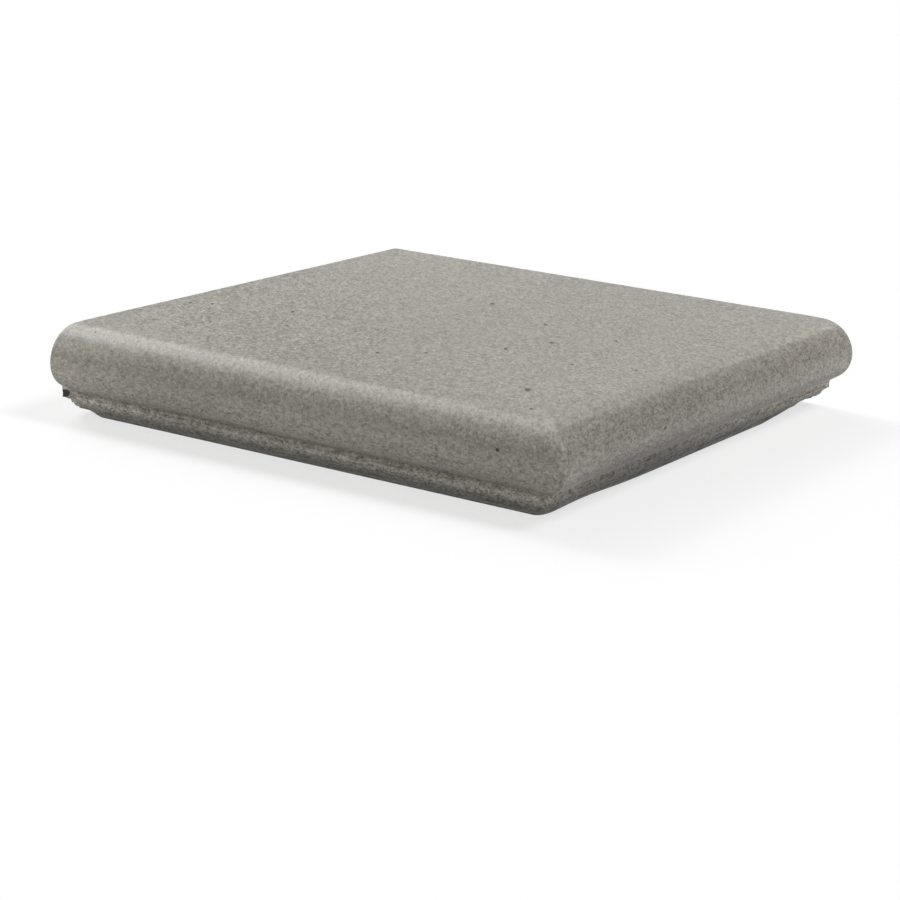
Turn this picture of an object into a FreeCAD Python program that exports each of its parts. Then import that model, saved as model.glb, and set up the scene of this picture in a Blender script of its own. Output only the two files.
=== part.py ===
"""Clinker corner stair tread: one fired piece with a rounded nose along two sides.

Millimetres, +Z up. The origin is the middle of the square plan, on the floor that the
legs stand on. The nosed sides face -Y and +X and meet in a mitre at the corner
(+X, -Y). The two cut sides face -X and +Y and butt against the neighbouring treads.
"""

import FreeCAD, Part
import math
import os

import Sketcher

NODE = "corner_tread"
OUTPUT_FOLDER = "parts"
SHEET = "Dimensions"

DRIVING_DIMENSIONS = [
    ("plan_side", 330.0, "side of the square plan, over the noses"),
    ("overall_height", 53.0, "from the floor to the tread's top"),
    ("plate_thickness", 18.0, "tread plate behind the noses"),
    ("nose_upper_radius", 20.0, "rounding from the top to the nose's front"),
    ("nose_lower_radius", 16.0, "rounding under the nose's front"),
    ("under_slope", 32.0, "fall of the flat under the nose, in degrees"),
    ("drip_setback", 15.0, "from the nose's front to the drip groove"),
    ("drip_radius", 1.2, "half-round drip groove under the nose"),
    ("foot_setback", 24.5, "from the nose's front to the leg's standing face"),
    ("foot_rounding", 16.0, "rounding from the drip groove to the standing face"),
    ("leg_depth", 44.0, "from the nose's front to the leg's inner wall"),
    ("recess_fillet", 6.0, "hollow fillet between the legs and the plate"),
    ("recess_corner", 12.0, "plan rounding where the two inner walls meet"),
    ("back_corner", 2.5, "plan rounding of the corner between the cut sides"),
    ("cut_arris", 1.5, "softened top arris of the cut sides"),
    ("key_depth", 3.0, "depth of a key groove in the bed face"),
    ("key_mouth", 12.0, "key groove's width at the bed face"),
    ("key_root", 15.0, "key groove's width at its root, wider than the mouth"),
    ("key_pitch", 25.0, "from one key groove to the next"),
    ("key_count", 11.0, "key grooves side by side"),
    ("key_margin", 18.0, "from the +Y cut side to the first groove's middle"),
    ("key_end_gap", 8.0, "from the grooves' blind ends to the leg's inner wall"),
    ("waste_margin", 10.0, "how far the cutting outlines run past the blank"),
]

START, END, CENTRE = 1, 2, 3
ORIGIN_POINT = (-1, 1)
X_AXIS_LINE = -1
NEAR = 0.01


def make_sheet(document):
    """Write the driving dimensions as plain numbers with aliases."""
    sheet = document.addObject("Spreadsheet::Sheet", SHEET)
    for row, (alias, value, note) in enumerate(DRIVING_DIMENSIONS, start=1):
        sheet.set(f"A{row}", note)
        sheet.set(f"B{row}", str(value))
        sheet.setAlias(f"B{row}", alias)
    document.recompute()
    return sheet


def formula(text):
    """Put the sheet's name before each alias of a formula."""
    aliases = {alias for alias, _value, _note in DRIVING_DIMENSIONS}
    words = text.split()
    return " ".join(f"{SHEET}.{word}" if word in aliases else word for word in words)


def origin_feature(body, role):
    """Find a plane or axis of the body's own origin by its role."""
    return next(item for item in body.Origin.OriginFeatures if item.Role == role)


class Outline:
    """A closed sketch outline whose dimensions are bound to the sheet."""

    def __init__(self, body, name, role):
        self.sketch = body.newObject("Sketcher::SketchObject", name)
        self.sketch.AttachmentSupport = [(origin_feature(body, role), "")]
        self.sketch.MapMode = "FlatFace"

    def ring(self, points, arcs, smooth=()):
        """Draw edge i from point i to the next, and join the edges end to end.

        An edge in arcs is an arc through the middle point given there. At a point in
        smooth the two edges are tangent.
        """
        edges = []
        for i, start in enumerate(points):
            end = points[(i + 1) % len(points)]
            through = (start, arcs[i], end) if i in arcs else (start, end)
            vectors = [FreeCAD.Vector(*point, 0.0) for point in through]
            curve = Part.Arc(*vectors) if i in arcs else Part.LineSegment(*vectors)
            edges.append(self.sketch.addGeometry(curve, False))
        for i, edge in enumerate(edges):
            following = edges[(i + 1) % len(edges)]
            number = (i + 1) % len(points)
            kind = "Tangent" if number in smooth else "Coincident"
            shared = points[number]
            ends = (*self.end(edge, shared), *self.end(following, shared))
            self.relate(kind, *ends)
        return edges

    def end(self, edge, point):
        """Say which end of an edge lies at a point: arcs may be stored turned round."""
        goal = FreeCAD.Vector(*point, 0.0)
        gaps = {code: (self.sketch.getPoint(edge, code) - goal).Length for code in (START, END)}
        return edge, min(gaps, key=gaps.get)

    def relate(self, kind, *where):
        """Add a relation that carries no size, such as Horizontal."""
        self.sketch.addConstraint(Sketcher.Constraint(kind, *where))

    def size(self, kind, name, text, *where):
        """Add a dimension and bind it to a formula of the sheet's aliases."""
        value = float(self.sketch.evalExpression(formula(text)))
        if kind == "Angle":
            value = math.radians(value)
        index = self.sketch.addConstraint(Sketcher.Constraint(kind, *where, value))
        self.sketch.renameConstraint(index, name)
        self.sketch.setExpression(f"Constraints.{name}", formula(text))


def blank_outline(body, size):
    """Draw the plan of the blank, with the mitre line as construction.

    The blank runs past the nosed sides by the waste margin, so that the nose outlines
    cut clean through. The corner between the cut sides is rounded.
    """
    half = size("plan_side") / 2
    over = half + size("waste_margin")
    radius = size("back_corner")
    inset = radius * (1 - math.sqrt(0.5))
    points = [
        (-half, -over),
        (over, -over),
        (over, half),
        (radius - half, half),
        (-half, half - radius),
    ]
    outline = Outline(body, "PlanOutline", "XY_Plane")
    arcs = {3: (inset - half, half - inset)}
    bottom, right, top, corner, left = outline.ring(points, arcs, smooth={3, 4})
    outline.relate("Horizontal", bottom)
    outline.relate("Vertical", right)
    outline.relate("Horizontal", top)
    outline.relate("Vertical", left)
    cut_corner = outline.end(bottom, points[0])
    beyond = "plan_side / 2 + waste_margin"
    outline.size("DistanceX", "cut_side", "plan_side / 2", *cut_corner, *ORIGIN_POINT)
    outline.size("DistanceX", "beyond_right_nose", beyond, *ORIGIN_POINT, right, END)
    outline.size("DistanceY", "beyond_front_nose", beyond, bottom, START, *ORIGIN_POINT)
    outline.size("DistanceY", "rear_side", "plan_side / 2", *ORIGIN_POINT, right, END)
    outline.size("Radius", "back_corner", "back_corner", corner)
    ends = [FreeCAD.Vector(half, -half, 0), FreeCAD.Vector(-half, half, 0)]
    mitre = outline.sketch.addGeometry(Part.LineSegment(*ends), True)
    outline.relate("Symmetric", mitre, START, mitre, END, *ORIGIN_POINT)
    outline.size("DistanceX", "mitre_x", "plan_side / 2", *ORIGIN_POINT, mitre, START)
    outline.size("DistanceY", "mitre_y", "plan_side / 2", mitre, START, *ORIGIN_POINT)
    return outline.sketch


def nose_waste_outline(body, size):
    """Draw what is cut away in front of the nose that faces -Y, seen along X.

    From the top: a quarter round, a smaller round under the front, a flat that falls
    inwards, a half-round drip groove and the leg's rounded lower edge.
    """
    front = -size("plan_side") / 2
    height = size("overall_height")
    upper, lower = size("nose_upper_radius"), size("nose_lower_radius")
    slope = math.radians(size("under_slope"))
    setback, groove = size("drip_setback"), size("drip_radius")
    margin = size("waste_margin")
    middle = height - upper

    def on_round(radius, below):
        """Give the point of a nose round at an angle below its front point."""
        return (front + radius - radius * math.cos(below), middle - radius * math.sin(below))

    flat_start = on_round(lower, math.pi / 2 - slope)
    flat_fall = (front + setback - flat_start[0]) * math.tan(slope)
    groove_top = (front + setback, flat_start[1] - flat_fall)
    groove_foot = (groove_top[0], groove_top[1] - 2 * groove)
    stand = (front + size("foot_setback"), 0.0)
    chord = math.dist(groove_foot, stand)
    rounding = size("foot_rounding")
    sagitta = rounding - math.sqrt(rounding**2 - (chord / 2) ** 2)
    bulge = (
        (groove_foot[0] + stand[0]) / 2 - sagitta * (groove_foot[1] - stand[1]) / chord,
        (groove_foot[1] + stand[1]) / 2 - sagitta * (stand[0] - groove_foot[0]) / chord,
    )
    points = [
        (front + upper, height),
        (front, middle),
        flat_start,
        groove_top,
        groove_foot,
        stand,
        (stand[0], -margin),
        (front - 2 * margin, -margin),
        (front - 2 * margin, height + margin),
        (front + upper, height + margin),
    ]
    arcs = {
        0: on_round(upper, -math.pi / 4),
        1: on_round(lower, math.pi / 4 - slope / 2),
        3: (groove_top[0] + groove, groove_top[1] - groove),
        4: bulge,
    }
    outline = Outline(body, "NoseWasteOutline", "YZ_Plane")
    edges = outline.ring(points, arcs, smooth={1, 2})
    over_nose, under_nose, flat, drip, foot, inside, below, outside, above, top_end = edges
    nose_top = outline.end(over_nose, points[0])
    drip_top = outline.end(drip, points[3])
    drip_foot = outline.end(drip, points[4])
    foot_end = outline.end(foot, points[5])
    outline.size("Radius", "upper_round", "nose_upper_radius", over_nose)
    outline.size("Radius", "lower_round", "nose_lower_radius", under_nose)
    outline.size("DistanceY", "top_height", "overall_height", *ORIGIN_POINT, *nose_top)
    top_start = "plan_side / 2 - nose_upper_radius"
    outline.size("DistanceX", "top_start", top_start, *nose_top, *ORIGIN_POINT)
    outline.relate("Vertical", over_nose, CENTRE, *nose_top)
    outline.relate("Horizontal", over_nose, CENTRE, *outline.end(over_nose, points[1]))
    outline.size("Angle", "under_slope", "0 - under_slope", flat)
    drip_place = "plan_side / 2 - drip_setback"
    outline.size("DistanceX", "drip_place", drip_place, *drip_top, *ORIGIN_POINT)
    outline.size("Radius", "drip_round", "drip_radius", drip)
    outline.relate("Vertical", *drip_top, *drip_foot)
    outline.relate("Vertical", drip, CENTRE, *drip_top)
    outline.size("Radius", "foot_round", "foot_rounding", foot)
    outline.relate("PointOnObject", *foot_end, X_AXIS_LINE)
    stand_place = "plan_side / 2 - foot_setback"
    outline.size("DistanceX", "stand_place", stand_place, *foot_end, *ORIGIN_POINT)
    for edge in (inside, outside, top_end):
        outline.relate("Vertical", edge)
    for edge in (below, above):
        outline.relate("Horizontal", edge)
    past_nose = "plan_side / 2 + 2 * waste_margin"
    past_top = "overall_height + waste_margin"
    outline.size("DistanceX", "past_nose", past_nose, below, END, *ORIGIN_POINT)
    outline.size("DistanceY", "past_floor", "waste_margin", below, END, *ORIGIN_POINT)
    outline.size("DistanceY", "past_top", past_top, *ORIGIN_POINT, above, START)
    return outline.sketch


def recess_outline(body, size):
    """Draw the plan of the hollow behind the two legs, open at both cut sides."""
    past = size("plan_side") / 2 + size("waste_margin")
    wall = size("plan_side") / 2 - size("leg_depth")
    radius = size("recess_corner")
    inset = radius * (1 - math.sqrt(0.5))
    points = [
        (-past, -wall),
        (wall - radius, -wall),
        (wall, radius - wall),
        (wall, past),
        (-past, past),
    ]
    outline = Outline(body, "RecessOutline", "XY_Plane")
    edges = outline.ring(points, {1: (wall - inset, inset - wall)}, smooth={1, 2})
    front_wall, corner, right_wall, rear, left = edges
    for edge in (front_wall, rear):
        outline.relate("Horizontal", edge)
    for edge in (right_wall, left):
        outline.relate("Vertical", edge)
    outline.size("Radius", "inner_corner", "recess_corner", corner)
    inner = "plan_side / 2 - leg_depth"
    beyond = "plan_side / 2 + waste_margin"
    outline.size("DistanceY", "front_wall", inner, front_wall, START, *ORIGIN_POINT)
    outline.size("DistanceX", "right_wall", inner, *ORIGIN_POINT, right_wall, END)
    outline.size("DistanceX", "past_left", beyond, front_wall, START, *ORIGIN_POINT)
    outline.size("DistanceY", "past_rear", beyond, *ORIGIN_POINT, right_wall, END)
    return outline.sketch


def key_outline(body, size):
    """Draw one dovetail key groove's section at the cut side that faces -X."""
    middle = size("plan_side") / 2 - size("key_margin")
    bed = size("overall_height") - size("plate_thickness")
    mouth, root, depth = size("key_mouth") / 2, size("key_root") / 2, size("key_depth")
    points = [
        (middle - mouth, bed),
        (middle + mouth, bed),
        (middle + root, bed + depth),
        (middle - root, bed + depth),
    ]
    outline = Outline(body, "KeyOutline", "YZ_Plane")
    opening, far_flank, back, near_flank = outline.ring(points, {})
    outline.relate("Horizontal", opening)
    outline.relate("Horizontal", back)
    outline.relate("Equal", far_flank, near_flank)
    bed_height = "overall_height - plate_thickness"
    outline.size("DistanceY", "bed_height", bed_height, *ORIGIN_POINT, opening, START)
    outline.size("DistanceY", "root_height", f"{bed_height} + key_depth", *ORIGIN_POINT, back, START)
    outline.size("DistanceX", "mouth_width", "key_mouth", opening, START, opening, END)
    outline.size("DistanceX", "root_width", "key_root", back, END, back, START)
    place = "plan_side / 2 - key_margin - key_mouth / 2"
    outline.size("DistanceX", "groove_place", place, *ORIGIN_POINT, opening, START)
    outline.sketch.setExpression("AttachmentOffset.Base.z", formula("0 - plan_side / 2"))
    return outline.sketch


class TreadBody:
    """The piece's body, to which the features are added one by one."""

    def __init__(self, document, size):
        self.document = document
        self.size = size
        self.body = document.addObject("PartDesign::Body", "CornerTread")
        self.body.Label = NODE

    def add(self, kind, name, formulas, **options):
        """Add a feature, bind its sizes to the sheet and check that it changed the solid."""
        before = self.volume()
        feature = self.body.newObject(f"PartDesign::{kind}", name)
        for option, value in options.items():
            setattr(feature, option, value)
        for option, text in formulas.items():
            feature.setExpression(option, formula(text))
        self.body.Tip = feature
        self.document.recompute()
        if abs(self.volume() - before) < NEAR:
            raise RuntimeError(f"{name} changed nothing")
        return feature

    def volume(self):
        """Give the present solid's volume, or zero before the first feature."""
        return 0.0 if self.body.Shape.isNull() else self.body.Shape.Volume

    def level_edges(self, height, wanted):
        """Name the edges that lie level at a height and whose middle is wanted."""
        names = []
        for number, edge in enumerate(self.body.Shape.Edges, start=1):
            box = edge.BoundBox
            level = abs(box.ZMin - height) < NEAR and abs(box.ZMax - height) < NEAR
            if level and wanted(edge.CenterOfMass):
                names.append(f"Edge{number}")
        return names

    def add_blank(self):
        """Pad the plan to the full height and return the plan's sketch."""
        plan = blank_outline(self.body, self.size)
        self.add("Pad", "Blank", {"Length": "overall_height"}, Profile=plan)
        return plan

    def add_noses(self, plan):
        """Cut the front nose along X and mirror that cut across the mitre."""
        waste = nose_waste_outline(self.body, self.size)
        through = {"Profile": waste, "Type": "ThroughAll", "SideType": "Symmetric"}
        front = self.add("Pocket", "FrontNose", {}, **through)
        mirrored = {"Originals": [front], "MirrorPlane": (plan, ["Axis0"])}
        self.add("Mirrored", "RightNose", {}, **mirrored)

    def add_recess(self):
        """Hollow the underside behind the legs, with a fillet under the plate."""
        plan = recess_outline(self.body, self.size)
        depth = {"Length": "overall_height - plate_thickness"}
        self.add("Pocket", "BedRecess", depth, Profile=plan, Reversed=True)
        bed = self.size("overall_height") - self.size("plate_thickness")
        inside = self.size("plan_side") / 2 - NEAR
        edges = self.level_edges(bed, lambda place: place.x > -inside and place.y < inside)
        radius = {"Radius": "recess_fillet"}
        self.add("Fillet", "RecessFillet", radius, Base=(self.body.Tip, edges))

    def add_keys(self):
        """Cut the dovetail key grooves into the bed face, side by side."""
        groove = key_outline(self.body, self.size)
        length = {"Length": "plan_side - leg_depth - key_end_gap"}
        key = self.add("Pocket", "KeyGroove", length, Profile=groove, Reversed=True)
        across = (origin_feature(self.body, "Y_Axis"), [""])
        spread = {"Occurrences": "key_count", "Length": "key_pitch * ( key_count - 1 )"}
        options = {"Originals": [key], "Direction": across, "Reversed": True}
        self.add("LinearPattern", "KeyGrooves", spread, **options)

    def soften_cut_sides(self):
        """Round the top arris of the two cut sides and of the corner between them."""
        top = self.size("overall_height")
        inside = self.size("plan_side") / 2 - self.size("back_corner")
        edges = self.level_edges(top, lambda place: place.x < -inside or place.y > inside)
        self.add("Fillet", "CutArris", {"Radius": "cut_arris"}, Base=(self.body.Tip, edges))


def build_tread(document, size):
    """Build the whole piece and return its body."""
    tread = TreadBody(document, size)
    plan = tread.add_blank()
    tread.soften_cut_sides()
    tread.add_noses(plan)
    tread.add_recess()
    tread.add_keys()
    return tread.body


def main():
    """Make the document, check every object and write the piece's file."""
    document = FreeCAD.newDocument("CornerTread")
    sheet = make_sheet(document)

    def size(alias):
        """Read one driving dimension from the sheet."""
        return float(getattr(sheet, alias))

    body = build_tread(document, size)
    document.recompute()
    for item in document.Objects:
        if "Invalid" in item.State or "Error" in item.State:
            raise RuntimeError(f"{item.Label} failed: {item.State}")
    if body.Shape.isNull() or not body.Shape.isValid():
        raise RuntimeError("the piece has no valid shape")
    os.makedirs(OUTPUT_FOLDER, exist_ok=True)
    body.Shape.exportStep(os.path.join(OUTPUT_FOLDER, f"{NODE}.step"))
    box = body.Shape.BoundBox
    print(f"{NODE}: {box.XLength:.2f} x {box.YLength:.2f} x {box.ZLength:.2f} mm", end=" ")
    print(f"volume {body.Shape.Volume / 1000:.1f} cm3, {len(body.Shape.Faces)} faces")


main()
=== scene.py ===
"""Clinker corner stair tread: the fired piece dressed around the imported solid.

Everything is in metres in the solid's frame: +Z up, the origin in the middle of the
plan on the floor, the noses towards -Y and +X, the cut sides towards -X and +Y.
"""

import logging
import math
from dataclasses import dataclass, field
from enum import Enum, IntEnum

import bmesh
import bpy
import numpy as np
from mathutils import Matrix, Vector
from numpy.typing import NDArray


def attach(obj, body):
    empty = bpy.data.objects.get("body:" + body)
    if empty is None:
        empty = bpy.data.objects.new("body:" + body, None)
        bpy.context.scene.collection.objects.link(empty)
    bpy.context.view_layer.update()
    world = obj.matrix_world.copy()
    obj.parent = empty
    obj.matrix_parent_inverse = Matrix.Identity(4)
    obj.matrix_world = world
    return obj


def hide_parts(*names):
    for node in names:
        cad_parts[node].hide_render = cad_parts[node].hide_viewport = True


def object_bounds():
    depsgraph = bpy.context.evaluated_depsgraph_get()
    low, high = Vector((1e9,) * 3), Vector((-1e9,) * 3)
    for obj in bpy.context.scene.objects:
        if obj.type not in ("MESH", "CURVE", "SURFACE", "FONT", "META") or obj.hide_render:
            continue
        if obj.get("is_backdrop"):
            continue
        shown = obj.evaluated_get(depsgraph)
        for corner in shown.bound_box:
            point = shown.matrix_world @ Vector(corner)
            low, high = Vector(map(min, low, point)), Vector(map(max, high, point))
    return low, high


Array = NDArray[np.float64]
Indices = NDArray[np.int64]
Span = tuple[float, float]
Stops = tuple[Span, ...]
Colour = tuple[float, float, float, float]
Sizes = tuple[float, float, float]
Point = tuple[float, float]
Socket = bpy.types.NodeSocket
Value = Socket | float | Sizes | Colour | Vector
Feeds = dict[str | int, Value]

NODE = "corner_tread"
BODY = "root"
MM = 0.001
CUBIC_CM = 1e-6
MERGED = 1e-7
TINY = 1e-9
SLIVER = 1e-12
WHITE: Colour = (1.0, 1.0, 1.0, 1.0)
RISE: Span = (0.0, 1.0)
FALL: Span = (1.0, 0.0)

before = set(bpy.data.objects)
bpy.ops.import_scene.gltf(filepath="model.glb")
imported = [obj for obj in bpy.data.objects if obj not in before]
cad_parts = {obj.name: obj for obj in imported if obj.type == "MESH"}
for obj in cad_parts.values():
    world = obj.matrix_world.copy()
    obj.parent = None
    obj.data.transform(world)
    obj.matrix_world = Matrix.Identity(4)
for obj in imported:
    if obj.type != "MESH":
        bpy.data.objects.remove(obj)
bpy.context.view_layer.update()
log = logging.getLogger("corner_tread")


class Bend(Enum):
    """How a stretch of the section turns, seen with the nose's front on the left."""

    HOLLOW = 1
    ROUND = -1


class Stretch(IntEnum):
    """The stretches of the section, in their order from the top to the bed."""

    START = 0
    LEAD = 1
    UPPER = 2
    LOWER = 3
    FLAT = 4
    DRIP = 5
    FOOT = 6
    STAND = 7
    WALL = 8
    FILLET = 9
    BED = 10


class Step(Enum):
    """Arithmetic steps that the finish's patterns use."""

    ADD = "ADD"
    SUBTRACT = "SUBTRACT"
    MULTIPLY = "MULTIPLY"
    MINIMUM = "MINIMUM"
    MAXIMUM = "MAXIMUM"


@dataclass(frozen=True)
class ClayNoise:
    """Smooth value noise on a seeded lattice, for the unevenness of fired clay.

    Formula: every lattice point has a fixed height from 0 to 1, given by a whole-number
    hash of its place. A point between them takes the eight heights of its cell, blended
    along each axis with the fade t * t * (3 - 2 * t).
    """

    seed: int
    cell: Sizes

    def at(self, points: Array) -> Array:
        """Work out the noise at points.

        Args:
            points: Places in metres, with the three coordinates in the last axis.

        Returns:
            Heights from 0 to 1, one a point.
        """
        scaled = points / np.array(self.cell)
        base = np.floor(scaled).astype(np.int64)
        part = scaled - base
        fade = part * part * (3.0 - 2.0 * part)
        total = np.zeros(points.shape[:-1])
        for corner in np.ndindex(2, 2, 2):
            step = np.array(corner)
            weight = np.prod(np.where(step == 1, fade, 1.0 - fade), axis=-1)
            total += weight * self._height(base + step)
        return total

    def _height(self, lattice: Indices) -> Array:
        """Hash whole-number places into heights from 0 to 1."""
        primes = np.array([73856093, 19349663, 83492791], dtype=np.int64)
        mixed = (lattice * primes).sum(axis=-1) + self.seed * 2654435761
        mixed = ((mixed ^ (mixed >> 15)) * 2246822519) & 0xFFFFFFFF
        mixed = ((mixed ^ (mixed >> 13)) * 3266489917) & 0xFFFFFFFF
        mixed = mixed ^ (mixed >> 16)
        return (mixed & 0xFFFFFF) / float(0xFFFFFF)


@dataclass
class NoseSection:
    """The outline that both noses share, from the top's edge round to the bed.

    A point has a setback, measured inwards from the nose's front, and a height. The
    steps are each stretch's number of points.
    """

    height: float = 53 * MM
    top_lead: float = 26 * MM
    upper_radius: float = 20 * MM
    lower_radius: float = 16 * MM
    under_slope: float = math.radians(32)
    drip_setback: float = 15 * MM
    drip_radius: float = 1.2 * MM
    foot_setback: float = 24.5 * MM
    foot_rounding: float = 16 * MM
    leg_depth: float = 44 * MM
    recess_fillet: float = 6 * MM
    bed_height: float = 35 * MM
    bed_lead: float = 0.5 * MM
    steps: tuple[int, ...] = (1, 4, 24, 12, 8, 5, 14, 6, 7, 5, 1)

    def arc(
        self, start: Point, end: Point, radius: float, bend: Bend, stretch: Stretch
    ) -> Array:
        """Carry an arc of a radius from one point to another.

        Formula: the centre lies on the chord's middle normal, on the side that the bend
        names, and the points turn round it by equal angles.

        Args:
            start: Setback and height of the first point, which is left out.
            end: Setback and height of the last point.
            radius: The arc's radius.
            bend: The side that the arc bulges to.
            stretch: Which stretch it is.

        Returns:
            The points, one a row.
        """
        first, last = np.array(start), np.array(end)
        chord = last - first
        length = float(np.hypot(*chord))
        reach = math.sqrt(max(radius**2 - (length / 2) ** 2, 0.0))
        normal = np.array([-chord[1], chord[0]]) / length * bend.value
        centre = (first + last) / 2 - normal * reach
        from_angle = math.atan2(*(first - centre)[::-1])
        to_angle = math.atan2(*(last - centre)[::-1])
        turn = (to_angle - from_angle + math.pi) % (2 * math.pi) - math.pi
        angles = from_angle + turn * self.shares(stretch)
        return centre + radius * np.stack([np.cos(angles), np.sin(angles)], axis=1)

    def shares(self, stretch: Stretch) -> Array:
        """Give a stretch's equal steps as shares of it, without its start."""
        return np.arange(1, self.steps[stretch] + 1) / self.steps[stretch]

    def line(self, start: Point, end: Point, stretch: Stretch) -> Array:
        """Give equal steps along a straight stretch, without its first point."""
        share = self.shares(stretch)[:, None]
        return np.array(start) * (1 - share) + np.array(end) * share

    def outline(self) -> tuple[Array, list[int]]:
        """Draw the whole outline.

        Returns:
            Its points, one a row, and the number of the last point of each stretch.
        """
        middle = self.height - self.upper_radius
        open_angle = math.pi / 2 - self.under_slope
        flat_start = (
            self.lower_radius * (1 - math.cos(open_angle)),
            middle - self.lower_radius * math.sin(open_angle),
        )
        fall = (self.drip_setback - flat_start[0]) * math.tan(self.under_slope)
        drip_top = (self.drip_setback, flat_start[1] - fall)
        drip_low = (self.drip_setback, drip_top[1] - 2 * self.drip_radius)
        stand = (self.foot_setback, 0.0)
        inside = (self.leg_depth, 0.0)
        wall_top = (self.leg_depth, self.bed_height - self.recess_fillet)
        bed = (self.leg_depth + self.recess_fillet, self.bed_height)
        top, front = (self.upper_radius, self.height), (0.0, middle)
        stretches = [
            np.array([[self.top_lead, self.height]]),
            self.line((self.top_lead, self.height), top, Stretch.LEAD),
            self.arc(top, front, self.upper_radius, Bend.ROUND, Stretch.UPPER),
            self.arc(front, flat_start, self.lower_radius, Bend.ROUND, Stretch.LOWER),
            self.line(flat_start, drip_top, Stretch.FLAT),
            self.drip(drip_top, Stretch.DRIP),
            self.arc(drip_low, stand, self.foot_rounding, Bend.ROUND, Stretch.FOOT),
            self.line(stand, inside, Stretch.STAND),
            self.line(inside, wall_top, Stretch.WALL),
            self.arc(wall_top, bed, self.recess_fillet, Bend.HOLLOW, Stretch.FILLET),
            self.line(bed, (bed[0] + self.bed_lead, self.bed_height), Stretch.BED),
        ]
        ends = list(np.cumsum([len(stretch) for stretch in stretches]) - 1)
        return np.concatenate(stretches), ends

    def drip(self, top: Point, stretch: Stretch) -> Array:
        """Give the half-round drip groove: a half turn that bulges inwards.

        Args:
            top: Setback and height of the groove's upper edge, which is left out.
            stretch: Which stretch it is.

        Returns:
            The points, one a row.
        """
        angles = math.pi / 2 - math.pi * self.shares(stretch)
        centre = np.array([top[0], top[1] - self.drip_radius])
        return centre + self.drip_radius * np.stack([np.cos(angles), np.sin(angles)], axis=1)


@dataclass
class TreadPlan:
    """The plan that the section is carried round: two runs that meet in a mitre.

    The end zone is its points' distances from the cut side, in millimetres.
    """

    half: float = 165 * MM
    mitre_zone: float = 13.5 * MM
    mitre_steps: int = 18
    end_zone: tuple[float, ...] = (
        8.0, 6.6, 5.3, 4.1, 3.0, 2.1, 1.5, 1.1, 0.8, 0.5, 0.25, 0.1, 0.0,
    )
    run_steps: int = 172

    def stations(self, length: Array) -> Array:
        """Give the distances from the mitre at which a run has its points.

        Formula: equal steps in the mitre's zone, equal steps along the middle, and the
        end zone's own distances from the cut side.

        Args:
            length: The run's length, one a row of the section.

        Returns:
            Distances, a row for each length, from zero to the length.
        """
        near = self.mitre_zone * np.arange(self.mitre_steps) / self.mitre_steps
        ends = np.array(self.end_zone) * MM
        share = np.arange(self.run_steps) / self.run_steps
        middle = self.mitre_zone + (length[:, None] - ends[0] - self.mitre_zone) * share
        rows = np.broadcast_to(near, (len(length), len(near)))
        return np.concatenate([rows, middle, length[:, None] - ends], axis=1)

    def turn(self, distance: Array, width: Array) -> Array:
        """Round a corner of the plan: a ramp that is zero before it and even after it.

        Formula: zero below -w, (d + w) squared over 4 w within the width w of the corner,
        and d above w. Its two mirrored copies give a parabola that touches both runs.

        Args:
            distance: The distance d past the corner.
            width: The width w that is rounded.

        Returns:
            The ramp, shaped as the distance.
        """
        safe = np.maximum(width, TINY)
        inner = (distance + safe) ** 2 / (4 * safe)
        return np.where(distance <= -safe, 0.0, np.where(distance >= safe, distance, inner))


@dataclass(frozen=True)
class ReliefSizes:
    """How uneven the fired surface is: each kind of relief with its depth and reach."""

    swells: ClayNoise = ClayNoise(11, (42 * MM,) * 3)
    ripples: ClayNoise = ClayNoise(12, (13 * MM,) * 3)
    grits: ClayNoise = ClayNoise(13, (4.2 * MM,) * 3)
    layers: ClayNoise = ClayNoise(21, (16 * MM, 1.7 * MM, 1.0))
    crumbs: ClayNoise = ClayNoise(22, (2.6 * MM, 2.2 * MM, 1.0))
    patches: ClayNoise = ClayNoise(23, (38 * MM, 30 * MM, 1.0))
    swell: float = 0.12 * MM
    ripple: float = 0.05 * MM
    skin: float = 0.03 * MM
    nose_skin: float = 0.05 * MM
    under_skin: float = 0.09 * MM
    base_fade: float = 1.5 * MM
    foot_layers: float = 0.75 * MM
    foot_crumbs: float = 0.55 * MM
    foot_patches: Span = (0.4, 0.9)
    foot_fades: Span = (3 * MM, 1.2 * MM)
    shoulder_roll: float = 0.40 * MM
    shoulder_past: float = 7 * MM
    shoulder_spread: float = 12 * MM
    notch_place: Sizes = (1.2 * MM, 15.8 * MM, 13.3 * MM)
    notch_depth: float = 1.3 * MM
    notch_reach: float = 2.6 * MM
    drip_fill: Stops = (
        (-90 * MM, 0.0), (-50 * MM, 0.75), (20 * MM, 0.85), (250 * MM, 0.80), (285 * MM, 0.40),
    )
    smear_setbacks: Span = (12.9 * MM, 9.8 * MM)
    smear_reaches: Span = (9 * MM, 6 * MM)
    smear_heights: Span = (8 * MM, 12 * MM)
    front_wear: float = 2.7 * MM
    front_wear_zone: Span = (6 * MM, 17 * MM)
    right_wear: float = 5.6 * MM
    right_wear_reach: float = 66 * MM
    right_wear_power: float = 1.2
    right_keep: float = 2.6 * MM
    right_keep_reach: float = 12 * MM
    mitre_wear: float = 1.5 * MM
    mitre_wear_start: float = 12 * MM
    mitre_wear_middle: float = 38 * MM
    mitre_wear_reach: float = 34 * MM


@dataclass(frozen=True)
class Carried:
    """Where the carried section's points lie: a row a section point, a column a station.

    The setback, the height and the run's length are one a row. The distance is each
    point's own from the mitre, negative on the front run.
    """

    setback: Array
    height: Array
    distance: Array
    length: Array

    @property
    def to_end(self) -> Array:
        """Each point's distance from the cut side."""
        return self.length - np.abs(self.distance)


def smooth(share: Array) -> Array:
    """Give the smooth step of a share that is held from 0 to 1: s * s * (3 - 2 * s)."""
    held = np.clip(share, 0.0, 1.0)
    return held * held * (3.0 - 2.0 * held)


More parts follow.
